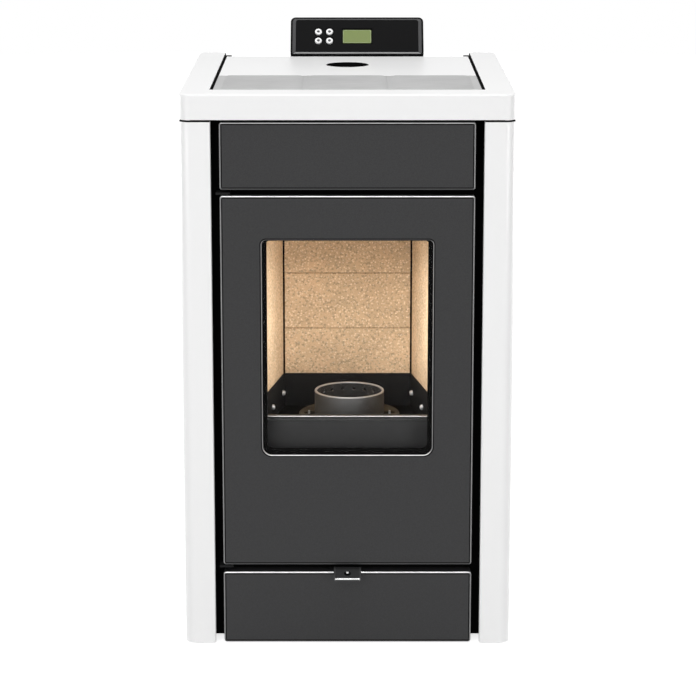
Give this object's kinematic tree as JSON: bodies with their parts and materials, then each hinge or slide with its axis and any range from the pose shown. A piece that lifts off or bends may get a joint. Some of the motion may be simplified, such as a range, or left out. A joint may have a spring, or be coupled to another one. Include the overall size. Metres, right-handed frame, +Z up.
{
  "type": "pellet stove",
  "caption": "Free-standing pellet stove: white body, dark glazed fire door, burn pot, ash drawer, lidded hopper with feed screw, fans and a sloping control panel.",
  "frame": {"origin": "centre of the bounding box, on the floor under the feet", "axes": "+Z up, -Y out of the glazed front, +X to the right seen from the front"},
  "size_m": [0.48, 0.616, 0.8745],
  "materials": {
    "enamel": "gloss",
    "front_steel": "satin",
    "black_steel": "matt",
    "grille_steel": "satin",
    "zinc": "satin",
    "iron": "matt",
    "olive_steel": "satin",
    "refractory": "matt",
    "glass": "polished",
    "rope": "matt",
    "rubber": "matt",
    "black_plastic": "satin",
    "button_plastic": "satin",
    "display": "satin",
    "circuit_board": "satin",
    "motor_steel": "satin"
  },
  "bodies": {
    "chassis": {"base_plate": "black_steel", "foot_1": "rubber", "foot_2": "rubber", "foot_3": "rubber", "foot_4": "rubber", "left_side_panel": "enamel", "right_side_panel": "enamel", "top_frame": "enamel", "top_grille": "grille_steel", "top_cradle": "black_steel", "back_panel": "black_steel", "power_inlet": "black_plastic", "front_frame": "black_steel", "upper_panel": "front_steel", "door_hinge_upper": "black_steel", "door_hinge_lower": "black_steel", "door_catch": "zinc", "firebox_shell": "black_steel", "ash_duct": "black_steel", "back_tile_1": "refractory", "back_tile_2": "refractory", "back_tile_3": "refractory", "side_board_left": "refractory", "side_board_right": "refractory", "baffle": "refractory", "fire_tray": "black_steel", "fender": "black_steel", "pot_flange": "olive_steel", "air_box": "iron", "igniter": "zinc", "air_intake_pipe": "zinc", "hopper": "zinc", "feed_tube": "zinc", "gear_motor": "motor_steel", "smoke_fan_housing": "iron", "smoke_fan_motor": "motor_steel", "room_fan_housing": "zinc", "control_housing": "black_plastic", "control_face": "black_plastic", "display": "display", "control_board": "circuit_board"},
    "door": {"door_panel": "front_steel", "door_glass": "glass", "glass_retainer": "black_steel", "door_liner": "black_steel", "door_gasket": "rope"},
    "lid": {"hopper_lid": "enamel"},
    "drawer": {"drawer_front": "front_steel", "ash_pan": "zinc", "drawer_tab": "black_steel", "tab_screw": "zinc"},
    "pot": {"burn_pot": "iron"},
    "key_1": {"button_1": "button_plastic"},
    "key_2": {"button_2": "button_plastic"},
    "key_3": {"button_3": "button_plastic"},
    "key_4": {"button_4": "button_plastic"},
    "feed_screw": {"auger": "zinc"},
    "smoke_fan": {"smoke_fan_wheel": "zinc"},
    "room_fan": {"room_fan_wheel": "zinc"},
    "rocker": {"power_switch": "black_plastic"}
  },
  "joints": [
    {"name": "door_hinge", "type": "hinge", "parent": "chassis", "child": "door", "pos_m": [-0.176, -0.279, 0.396], "axis": [0, 0, -1], "range_deg": [0, 120]},
    {"name": "lid_hinge", "type": "hinge", "parent": "chassis", "child": "lid", "pos_m": [0, 0.192, 0.802], "axis": [-1, 0, 0], "range_deg": [0, 95]},
    {"name": "drawer_slide", "type": "slide", "parent": "chassis", "child": "drawer", "axis": [0, -1, 0], "range_m": [0, 0.25]},
    {"name": "pot_lift", "type": "slide", "parent": "chassis", "child": "pot", "axis": [0, 0, 1], "range_m": [0, 0.06]},
    {"name": "key_1_press", "type": "slide", "parent": "chassis", "child": "key_1", "axis": [0, 0.788, -0.6157], "range_m": [0, 0.001], "stiffness_N_per_m": 400},
    {"name": "key_2_press", "type": "slide", "parent": "chassis", "child": "key_2", "axis": [0, 0.788, -0.6157], "range_m": [0, 0.001], "stiffness_N_per_m": 400},
    {"name": "key_3_press", "type": "slide", "parent": "chassis", "child": "key_3", "axis": [0, 0.788, -0.6157], "range_m": [0, 0.001], "stiffness_N_per_m": 400},
    {"name": "key_4_press", "type": "slide", "parent": "chassis", "child": "key_4", "axis": [0, 0.788, -0.6157], "range_m": [0, 0.001], "stiffness_N_per_m": 400},
    {"name": "feed_screw_turn", "type": "hinge", "parent": "chassis", "child": "feed_screw", "pos_m": [0, 0.157, 0.474], "axis": [0, -0.6658, 0.7461], "continuous": true},
    {"name": "smoke_fan_turn", "type": "hinge", "parent": "chassis", "child": "smoke_fan", "pos_m": [-0.095, 0.132, 0.196], "axis": [1, 0, 0], "continuous": true},
    {"name": "room_fan_turn", "type": "hinge", "parent": "chassis", "child": "room_fan", "pos_m": [0.11, 0.2, 0.078], "axis": [1, 0, 0], "continuous": true},
    {"name": "power_switch_rock", "type": "hinge", "parent": "chassis", "child": "rocker", "pos_m": [-0.17, 0.252, 0.06], "axis": [-1, 0, 0], "range_deg": [0, 10]}
  ]
}
